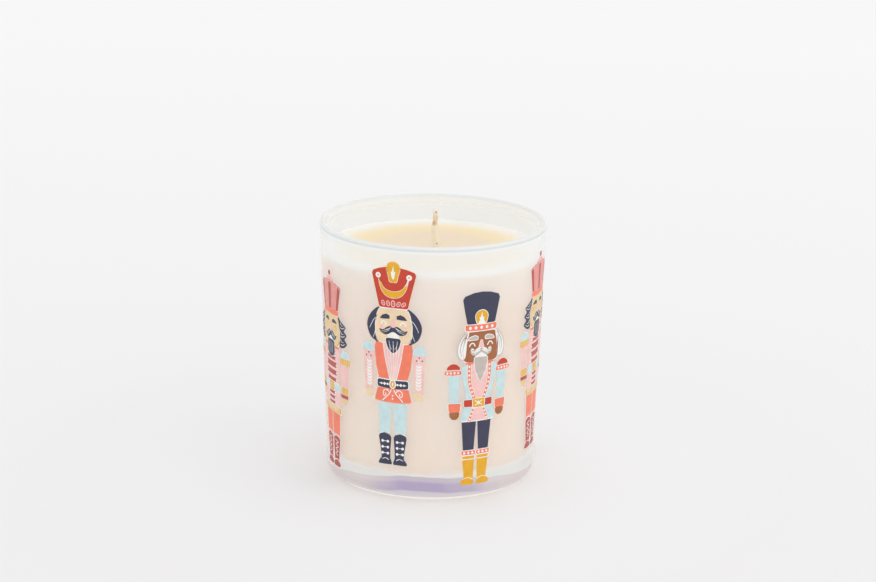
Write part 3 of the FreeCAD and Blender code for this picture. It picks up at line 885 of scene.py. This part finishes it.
def draw_red_hat_head(art):
    art.both("navy", MAIN, curve([(5, 56.8), (7, 55.9), (8.9, 53.7), (10, 50.9), (9.7, 48.2), (8.6, 46),
        (6.9, 44.8), (5.7, 44.4), (5.2, 47.5), (5.2, 52)]))
    art.white_lines(OVER, [(5.9, 53.2), (7.2, 52.3), (8.3, 50.4), (8.9, 49)], 0.22, 0.14)
    art.white_lines(OVER, [(6.5, 49), (7, 47.4), (7.6, 45.7)], 0.18, 0.12)
    art.add("skin", OVER, symmetric([(4.4, 44.5), (5.9, 45), (6.5, 47.4), (6.6, 50.8), (5.9, 54.6),
        (5, 56.7)]), 1.5, 0.26)
    brow = [(1.25, 53.15), (1.3, 54.35), (2.6, 54.85), (4, 54.3), (5.1, 52.95), (3.2, 52.95)]
    art.both("navy", DETAIL, brow, 0.25)
    draw_smiling_eyes(art, 51.6)
    art.both("pink", DETAIL, oval(4.3, 50.1, 0.8, 0.65))
    art.add("pink", DETAIL, curve(symmetric([(0, 49.5), (1, 50.5), (0.7, 51.8), (0.35, 53.2)])))
    art.add("white", DETAIL, symmetric([(2, 46.5), (2.3, 48.6), (0, 48.2)], 1), 0.4)
    draw_moustache(art, "navy", 50.3, HANDLEBAR)
    art.add("navy", DETAIL, curve(symmetric([(0, 46.3), (2.5, 46.1), (2.5, 44.4), (1.7, 42.4), (0, 40.9)],
        1)), 0, 0.2)
    for top, bottom in ((-1.5, -0.5), (0, 0), (1.5, 0.5)):
        art.white_line(FINE, [(top, 45.2), (0.85 * top, 43.6), (bottom, 42.2)], 0.14, 0.08)


def draw_red_hat_hat(art):
    art.add("white", MAIN, symmetric([(5, 56.5), (5.1, 57.2)], 1), 0.2)
    art.add("red", OVER, [(-5.1, 57.1), (5.2, 57.1), (6, 60.8), (8.05, 69), (7.6, 70), (5, 70.9),
        (2.4, 71.4), (-2.4, 71.4), (-5, 70.8), (-7.4, 69.8), (-7.9, 68.8), (-6, 60.8)], 0.6, 0.18, "skin")
    badge = symmetric([(0, 66.3), (1.25, 66.5), (1.7, 68.5), (2.35, 70.8), (1.9, 72.5), (0.9, 73.2),
        (0, 73.35)], 1)
    art.add("gold", DETAIL, curve(badge), 0, 0.26, "skin")
    art.add("white", FINE, flame(67.3, 71.9, 0.85, 0.35))
    outer = [(-5.35, 67), (-4.6, 63.8), (-2.8, 61.4), (0, 60.6), (2.8, 61.4), (4.6, 63.8), (5.45, 67)]
    inner = [(4.6, 65.8), (3.4, 64.1), (1.8, 63.2), (0, 62.95), (-1.8, 63.2), (-3.4, 64.1), (-4.5, 65.8)]
    art.add("gold", DETAIL, outer + inner, 0.6)
    art.add("skin", FINE, stroke(outer, 0.26))
    art.add("skin", FINE, stroke(inner, 0.22))
    for s in (-5.5, 5.65):
        art.add("white", FINE, oval(s, 68.25, 0.98, 0.98))
        art.add("gold", FINER, oval(s, 68.25, 0.34, 0.34, steps=12))
    art.white_line(FINE, [(5.5, 67.6), (5, 66.2), (4.4, 65.2)], 0.7, 0.2)
    for s, tilt, size in ((-3.65, 24, 0.95), (-1.85, 12, 0.95), (0, 0, 1.15), (1.95, -30, 0.95),
            (3.75, -42, 0.95)):
        art.add("pink", DETAIL, oval(s, 58.6, 0.72 * size, 1.08 * size, tilt))
        art.add("red", FINE, oval(s, 58.6, 0.42 * size, 0.78 * size, tilt, 14))
        art.add("pink", FINER, oval(s, 58.6, 0.14, 0.42, tilt, 8))


# ---- the soldier in the navy hat ----

def draw_navy_hat_legs(art):
    art.shift = -0.5
    art.both("gold", MAIN, [(0.75, 1.6), (4.1, 1.6), (4.4, 5.5), (4.85, 9.2), (0.5, 9.2), (0.65, 5.5)], 0.2)
    art.both("gold", OVER, [(0.4, 0.2), (1.5, 0), (4.3, 0), (5.4, 0.3), (5.3, 1.3), (4.4, 2.2), (2.9, 2.6),
        (1.4, 2.3), (0.5, 1.3)], 0.8)
    art.white_lines(DETAIL, [(0.9, 2), (2.7, 2.75), (4.4, 2.2)], 0.26, 0.16)
    art.both("gold", MAIN, [(0.4, 9.65), (4.9, 9.65), (5, 10.7), (0.35, 10.7)], 0.25, 0.24)
    art.both("coral", MAIN, [(0.3, 11.1), (5.15, 11.1), (5.35, 12.6), (0.15, 12.6)], 0.35, 0.22)
    for s in (1.2, 2.7, 4.25):
        art.both("white", OVER, oval(s, 11.85, 0.42, 0.46, steps=12))
    art.both("navy", MAIN, [(0.85, 12.95), (4.75, 12.95), (5.55, 23.3), (0.25, 23.3)], 0.2)


def draw_navy_hat_coat(art):
    art.shift = -0.05
    art.add("mint", MAIN, [(-6.5, 24.2), (-5.8, 23.3), (0, 23.5), (5.8, 23.3), (6.5, 24.2), (5.2, 28.9),
        (-5.2, 28.9)], 0.5)
    art.white_line(OVER, symmetric([(3, 23.5), (6.1, 23.75)]), 0.36)
    art.add("pink", OVER, [(-1.1, 28.7), (-2.1, 26), (-2.7, 23.7), (2.5, 23.7), (2, 26), (1.1, 28.7)])
    draw_dotted_trim(art, [(1.5, 28.7), (2.6, 26.2), (3.3, 23.6)], 1.15, 4)
    art.add("red", OVER, [(-5.4, 28.9), (0, 28.7), (5.2, 28.9), (5.2, 31.4), (0, 31.3), (-5.4, 31.4)], 0.45,
        0.16)
    draw_square_buckle(art)
    art.add("mint", MAIN, [(-4.8, 31.5), (4.9, 31.5), (5.4, 36), (6.7, 41), (6.9, 43), (5.6, 44.3),
        (-5.2, 44.3), (-6.6, 43), (-6.6, 41), (-5.3, 36)], 0.9)
    art.add("pink", OVER, [(-3.3, 44.2), (-3.2, 40), (-2.6, 36), (-1.2, 31.7), (1.3, 31.7), (2.7, 36),
        (3.2, 40), (3.2, 44.2)])
    draw_dotted_trim(art, [(3.8, 44.2), (3.85, 40.5), (3.3, 36.4), (1.8, 32)], 1.3, 8)
    art.add("coral", OVER, symmetric([(5.4, 44.25), (5.6, 44.9)], 1), 0.2, 0.12)


def draw_dotted_trim(art, path, width, count):
    """Coral braid on both sides with thin white edges and white dots."""
    art.both("coral", OVER, stroke(path, width))
    for ds in (-width / 2, width / 2):
        art.white_lines(DETAIL, [(s + ds, h) for s, h in path], 0.15)
    for s, h in along(path, 2 * count + 1)[1::2]:
        art.both("white", DETAIL, oval(s, h, 0.34, 0.42, steps=12))


def draw_square_buckle(art):
    art.add("gold", FINE, [(-2.1, 28.5), (2.2, 28.5), (2.3, 31.6), (-2.2, 31.6)], 0.6, 0.24)
    art.add("white", FINER, rounded([(0, 29.2), (0.65, 30.05), (0, 30.9), (-0.65, 30.05)], 0.15, 3))
    for s, h in ((-1.25, 29.3), (1.25, 29.3), (-1.25, 30.8), (1.25, 30.8)):
        art.white_line(FINER, [(0.35 * s, 30.05 + 0.35 * (h - 30.05)), (s, h)], 0.26, 0.36)


def draw_navy_hat_arms(art):
    art.shift = -0.1
    art.both("brown", MAIN, [(6.8, 27.4), (10.4, 27.4), (10.3, 25.6), (9.4, 24.5), (8, 24.4), (7, 25.4)],
        0.8)
    art.both("mint", MAIN, [(7.4, 30), (10.3, 30), (11.2, 41.2), (7, 41.2)], 0.2)
    art.both("coral", OVER, [(6.7, 27.3), (10.6, 27.2), (10.9, 30.3), (6.5, 30.3)], 0.35, 0.2)
    art.both("coral", DETAIL, [(6.5, 40.8), (9.5, 40.6), (12.5, 40.9), (12.4, 42.2), (9.5, 42.3),
        (6.7, 42.2)], 0.4, 0.14)
    for s in (7.7, 9, 10.3, 11.5):
        art.both("white", FINE, oval(s, 41.5, 0.36, 0.42, steps=12))
    art.both("red", DETAIL, [(7, 42.6), (9.4, 42.7), (11.9, 42.6), (11.4, 43.8), (10.4, 44.6), (9.3, 44.8),
        (8.3, 44.5), (7.4, 43.7)], 0.7)


def draw_navy_hat_head(art):
    art.shift = 0.6
    hair = [(5, 56.2), (6.8, 55.1), (8.3, 52.8), (9, 50), (8.8, 47.6), (7.9, 46.1), (6.7, 45.8), (6, 47),
        (5.6, 52)]
    art.both("grey", MAIN, curve(hair))
    art.both("white", OVER, curve([(5, 55.8), (6.6, 54.8), (8, 52.6), (8.7, 50), (8.5, 47.8), (7.7, 46.5),
        (6.7, 46.2), (6, 47.4), (5.6, 52)]))
    art.both("grey", DETAIL, stroke([(5.8, 55.2), (7.3, 52.6), (7.9, 49.8), (7.4, 47.2)], 0.55, 0.2))
    art.both("grey", DETAIL, stroke([(6.2, 53.4), (6.9, 50.6), (7, 48.8)], 0.3, 0.12))
    art.shift = 0.3
    art.add("brown", OVER, [(-5.3, 55.8), (-6.1, 53.8), (-6.75, 50.5), (-6.65, 47.2), (-6.1, 45.4),
        (-4.6, 44.95), (4.6, 44.95), (6.1, 45.4), (6.65, 47.2), (6.65, 50.5), (6.1, 53.8), (5.3, 55.8)],
        1.4, 0.28)
    art.both("grey", FINE, [(1.5, 53), (1.4, 54), (2.5, 54.4), (4.2, 53.9), (5.1, 52.9), (3.3, 53)], 0.35,
        0.26)
    draw_smiling_eyes(art, 51.3, 3.4)
    art.add("pink", FINE, curve(symmetric([(0, 49.6), (0.9, 50.2), (0.65, 51.2), (0.3, 52.6)])), 0, 0.16)
    art.add("white", DETAIL, symmetric([(2.1, 46.7), (2.4, 48.8), (0, 48.3)], 1), 0.4)
    draw_moustache(art, "grey", 50.1, CURLED)
    for points in ([(0.5, 49.9), (1.6, 49.5), (2.5, 48.6), (3.5, 48.8)], [(0.6, 49.2), (1.5, 48.7),
            (2.4, 48)], [(2.9, 49.5), (3.4, 49.6), (3.7, 49.2)]):
        art.white_lines(FINER, points, 0.5, 0.3)
    art.add("grey", FINE, [(-2.4, 46.6), (2.4, 46.6), (2.5, 44.8), (2.1, 43.1), (1.9, 41.3), (1.3, 40.9),
        (1, 39.4), (0.5, 38.9), (0, 37.4), (-0.6, 38.9), (-1.1, 39.6), (-1.3, 40.8), (-1.9, 41.3),
        (-2.2, 43.2), (-2.5, 44.8)], 0.35, 0.24)


def draw_navy_hat_hat(art):
    art.shift = 0.12
    art.add("navy", OVER, [(-5.2, 58.6), (5.2, 58.6), (6, 62.5), (6.95, 67.3), (6.4, 68.5), (3.2, 69.6),
        (0, 70), (-3.2, 69.7), (-6.4, 68.6), (-7.05, 67.4), (-6.1, 62.5)], 0.8)
    art.add("coral", DETAIL, symmetric([(0, 56.1), (5.8, 56.3), (5.95, 58.4), (0, 58.3)], 1), 0.45, 0.24)
    for s in (-4.15, -2.1, 0, 2.1, 4.15):
        art.add("white", FINE, oval(s, 57.25, 0.52, 0.58, steps=14))
    art.add("gold", FINE, curve(symmetric([(0, 58.7), (1.5, 58.8), (2.15, 60.3), (2.2, 61.8), (1.35, 63),
        (0, 63.4)], 1)), 0, 0.24)
    art.add("white", FINER, flame(58.6, 62.6, 0.95, 1.35))


# ---- the soldier in the pleated crown ----

def draw_crown_legs(art):
    art.shift = -0.35
    art.both("rose", MAIN, [(0.85, 1.8), (4.1, 1.8), (4.6, 6), (5.25, 10.5), (4.3, 11.3), (2.8, 11.6),
        (1.2, 11.1), (0.3, 10.3), (0.7, 6)], 0.8, 0.2)
    art.both("rose", OVER, [(0.2, 0.2), (1.4, 0), (4, 0), (5.1, 0.3), (5.1, 1.2), (4.2, 2.1), (2.7, 2.5),
        (1.2, 2.2), (0.3, 1.2)], 0.7, 0.16)
    art.white_lines(DETAIL, [(0.7, 2.1), (2.6, 2.75), (4.3, 2.2)], 0.24, 0.16)
    art.white_lines(OVER, [(1.6, 9.9), (3.9, 9.3), (1.9, 8.3), (3.8, 7.5), (1.9, 6.6), (3.5, 5.8),
        (1.9, 4.9), (3.2, 4.2)], 0.26)
    art.both("coral", MAIN, [(0.35, 11.9), (2.8, 12.2), (5.2, 11.9), (5.6, 20.1), (0.2, 20.1)], 0.3, 0.12)


def draw_crown_coat(art):
    art.shift = -0.2
    art.add("pink", MAIN, symmetric([(6.4, 22.6), (5.6, 28.2), (5.5, 31), (6.3, 37), (6.5, 43),
        (5.4, 44.1)], 1), 0.5)
    art.add("tan", OVER, symmetric([(6.4, 20.1), (6.5, 22.6)], 1), 0.4, 0.16)
    art.both("gold", DETAIL, [(5.6, 20.4), (6.35, 20.3), (6.45, 22.4), (5.7, 22.3)], 0.2)
    art.add("gold", DETAIL, stroke([(-5.2, 20.8), (5.2, 20.8)], 0.16))
    for low, high, half in ((23.2, 24.2, 2.7), (25, 26.1, 2.6), (26.8, 27.9, 2.5), (31.6, 33, 3.7),
            (34, 35.9, 3.9), (36.8, 38.8, 3.9), (39.5, 40.8, 3.6), (41.6, 43, 3.6)):
        art.add("rose", OVER, [(-half, low), (0, low - 0.15), (half, low), (half + 0.1, high),
            (0, high - 0.15), (-half - 0.1, high)], 0.35, 0.2)
        for s in (-half + 0.1, half - 0.1):
            art.add("white", DETAIL, oval(s, (low + high) / 2, 0.32, 0.36, steps=12))
    art.add("mint", OVER, symmetric([(0, 28.2), (5.7, 28.4), (5.7, 31.1), (0, 30.9)], 1), 0.4, 0.16)
    art.add("gold", FINE, symmetric([(1.8, 28.1), (1.9, 31.2)], 1), 0.5, 0.2)
    art.add("tan", FINER, symmetric([(1, 28.8), (1, 30.5)], 1), 0.4)
    art.add("gold", FINEST, oval(0, 29.65, 0.55, 0.5, steps=12))
    art.add("coral", OVER, symmetric([(6.2, 44.1), (5.8, 45)], 1), 0.25, 0.12)


def draw_crown_arms(art):
    art.shift = -0.15
    art.both("tan", MAIN, [(7, 27.2), (10.4, 27.2), (10.2, 25.6), (9.3, 24.5), (8, 24.4), (7.1, 25.4)], 0.8)
    art.both("pink", MAIN, [(7.4, 30.5), (10.8, 30.5), (11.2, 39.6), (7.2, 39.6)], 0.2)
    art.both("gold", OVER, [(7, 28.5), (10.9, 28.5), (11.1, 31), (7, 31)], 0.3, 0.14)
    art.both("rose", OVER, [(6.6, 27), (10.7, 27), (10.8, 28.3), (6.6, 28.3)], 0.3)
    art.both("gold", OVER, [(6.7, 39.3), (12.2, 39.3), (12.1, 41.7), (6.8, 41.7)], 0.3, 0.1)
    for k in range(5):
        art.both("tan", DETAIL, stroke([(7.4 + 1 * k, 39.5), (7.4 + 1 * k, 41.5)], 0.42))
    for k in range(4):
        art.both("tan", DETAIL, stroke([(7.6 + 0.92 * k, 28.8), (7.6 + 0.93 * k, 30.7)], 0.34))
    art.both("mint", DETAIL, [(6.8, 41.8), (9.4, 41.6), (12.1, 41.8), (11.6, 43.1), (10.6, 44.1),
        (9.4, 44.4), (8.3, 44.1), (7.2, 43.1)], 0.8, 0.12)


def draw_crown_head(art):
    art.shift = -0.1
    art.both("navy", MAIN, [(5.4, 56.6), (7.3, 54.9), (9.2, 53.9), (10.5, 53.3), (9.5, 52.2), (9.2, 51.6),
        (10.8, 50.3), (9.7, 49.2), (9.4, 48.7), (10.9, 47.2), (9.5, 45.9), (8.2, 45.3), (6.6, 45.3),
        (5.9, 48), (5.9, 52)], 0.5)
    for h in (53.1, 50.1, 47.1):
        art.white_lines(OVER, [(7.3, h - 0.5), (8.3, h - 0.7), (9.6, h)], 0.26, 0.16)
        art.white_lines(OVER, [(7.2, h + 1.3), (7.8, h + 0.4), (8.8, h + 0.4)], 0.22, 0.14)
    art.add("tan", OVER, symmetric([(4.4, 45.05), (5.9, 45.5), (6.5, 47.6), (6.6, 50.9), (5.9, 54.4),
        (5.1, 56.2)]), 1.5, 0.24)
    art.both("gold", DETAIL, stroke([(4.9, 45.5), (5.8, 46.4), (6.1, 48), (5.9, 49.6)], 0.4, 0.16))
    art.both("navy", DETAIL, [(1.3, 53.1), (1.6, 54.3), (3.2, 54.6), (5.1, 53.3), (3.4, 53.2)], 0.25)
    art.both("gold", DETAIL, oval(3.6, 51.5, 1.05, 0.8))
    art.both("tan", FINE, oval(3.6, 51.45, 0.85, 0.6, steps=14))
    art.add("pink", DETAIL, curve(symmetric([(0, 49.1), (1, 49.8), (0.8, 51.2), (0.45, 52.5)])))
    art.add("white", DETAIL, symmetric([(2, 46.6), (2.3, 48.4), (0, 48)], 1), 0.4)
    draw_moustache(art, "navy", 49.8, [(0.86 * s, dh) for s, dh in HANDLEBAR])
    art.add("navy", FINE, symmetric([(2.7, 46.7), (2.9, 43), (2.2, 41.1), (0, 40.4)], 1), 0.9, 0.18)
    for s in (-1.4, 0, 1.4):
        art.white_line(FINER, [(s, 45.6), (0.95 * s, 43.6), (0.6 * s, 41.8)], 0.13, 0.08)


def draw_crown_hat(art):
    art.shift = -0.15
    bottom, top = 5.75, 7.6
    edges = (-1, -0.75, -0.46, -0.18, 0.18, 0.46, 0.75, 1)
    for k, (left, right) in enumerate(zip(edges, edges[1:])):
        middle = (left + right) / 2
        crest = 67.75 - 1.3 * middle * middle
        ends = [67.5 - 1.3 * end * end for end in (left, right)]
        ink = "rose" if k in (0, 3, 6) else "salmon"
        art.add(ink, MAIN, [(left * bottom, 58), (right * bottom, 58), (right * top, ends[1]),
            (middle * top, crest + 0.1), (left * top, ends[0])])
        art.add("rose", OVER, stroke([(left * top, ends[0]), (middle * top, crest + 0.15),
            (right * top, ends[1])], 0.5))
        art.add("pink", DETAIL, stroke([(left * top, ends[0] - 0.15), (middle * top, crest),
            (right * top, ends[1] - 0.15)], 0.26))
        if k:
            art.add("pink", OVER, stroke([(left * bottom, 58.2), (left * top, ends[0])], 0.16))
        if ink == "salmon":
            art.add("pink", OVER, stroke([(middle * bottom, 58.2), (middle * top, crest - 0.3)], 0.12))
    art.add("coral", OVER, symmetric([(0, 56.1), (5.9, 56.3), (6, 58), (0, 57.9)], 1), 0.4, 0.18, "pink")
    art.add("pink", MAIN, symmetric([(0, 67.4), (4.4, 67.6), (2.3, 69), (0.6, 70.2)], 1), 0.4)
    art.add("salmon", OVER, stroke([(-2.4, 68.3), (0, 69), (2.4, 68.3)], 0.2))
    art.add("rose", OVER, oval(0, 70.8, 0.95, 0.88))


# ---- camera, lights and floor ----

def make_camera():
    """Slightly above the rim, a little rolled, at a long lens."""
    elevation, roll = math.radians(15.88), math.radians(0.87)
    distance = 0.8
    target = Vector((2.02, 0, 65.78)) * MM
    forward = Vector((0, math.cos(elevation), -math.sin(elevation)))
    level_right = Vector((1, 0, 0))
    level_up = level_right.cross(forward)
    right = level_right * math.cos(roll) + level_up * math.sin(roll)
    up = level_up * math.cos(roll) - level_right * math.sin(roll)
    data = bpy.data.cameras.new("camera")
    data.sensor_width = 36
    data.lens = 92.75
    data.clip_start = 0.01
    camera = bpy.data.objects.new("camera", data)
    bpy.context.scene.collection.objects.link(camera)
    rotation = Matrix((right, up, -forward)).transposed().to_4x4()
    camera.matrix_world = Matrix.Translation(target - forward * distance) @ rotation
    bpy.context.scene.camera = camera


def make_light(name, place_at, aim, size, power, colour):
    data = bpy.data.lights.new(name, "AREA")
    data.shape = "DISK"
    data.size = size
    data.energy = power
    data.color = colour
    lamp = bpy.data.objects.new(name, data)
    bpy.context.scene.collection.objects.link(lamp)
    direction = Vector(aim) - Vector(place_at)
    lamp.matrix_world = Matrix.Translation(place_at) @ direction.to_track_quat("-Z",
        "Y").to_matrix().to_4x4()


def make_world():
    world = bpy.data.worlds.new("studio")
    world.use_nodes = True
    tree = world.node_tree
    background = tree.nodes["Background"]
    side = add_node(tree, "SeparateXYZ", {"Vector": add_node(tree,
        "TexCoord").outputs["Generated"]}).outputs["X"]
    sky = ramp(tree, remap(tree, side, -1, 1), (0.1, (0.90, 0.90, 0.905)), (0.6, (1, 1, 1.005)),
        (1, (1.03, 1.03, 1.03)))
    tree.links.new(sky, background.inputs["Color"])
    background.inputs["Strength"].default_value = 1
    bpy.context.scene.world = world


def make_floor():
    """Pale seamless floor, a little lighter towards the back, with painted light close to the candle that
    lifts the shade round its foot.
    """
    material, tree = node_material("studio_floor")
    depth = remap(tree, object_axes(tree)["Y"], -0.1, 0.9)
    away = ramp(tree, depth, (0, (0.89, 0.882, 0.887)), (1, (0.955, 0.955, 0.95)))
    # Painted light: within about 130 mm of the candle's axis the floor turns lighter and bluer, fully so
    # inside 40 mm, which lifts the shade the candle casts round itself.
    near = remap(tree, length(tree, object_place(tree)), 0.13, 0.04)
    colour = blend(tree, near, away, (0.955, 0.965, 0.985, 1))
    finished(material, add_node(tree, "BsdfDiffuse", {"Color": colour}))
    half = 6 / MM
    floor = new_object("floor", [(-half, -half, 0), (half, -half, 0), (half, half, 0), (-half, half, 0)],
        [(0, 1, 2, 3)], material)


def make_studio():
    make_camera()
    make_world()
    make_floor()
    make_light("key", (0.9, -0.5, 1.1), (0, 0, 0.04), 0.9, 0.9, (1, 0.98, 0.95))
    bpy.context.scene.view_settings.view_transform = "Standard"


# ---- the whole candle ----

make_studio()
inks = {name: ink_material(f"{name}_ink", rgb) for name, rgb in INK_COLOURS.items()}
make_glass()
make_wax()
make_tab_and_sticker()
make_wick()
make_prints({
    "red_hat": Drawing(draw_red_hat_legs, draw_red_hat_coat, draw_red_hat_arms, draw_red_hat_head,
        draw_red_hat_hat),
    "navy_hat": Drawing(draw_navy_hat_legs, draw_navy_hat_coat, draw_navy_hat_arms, draw_navy_hat_head,
        draw_navy_hat_hat),
    "crown": Drawing(draw_crown_legs, draw_crown_coat, draw_crown_arms, draw_crown_head, draw_crown_hat),
}, inks)
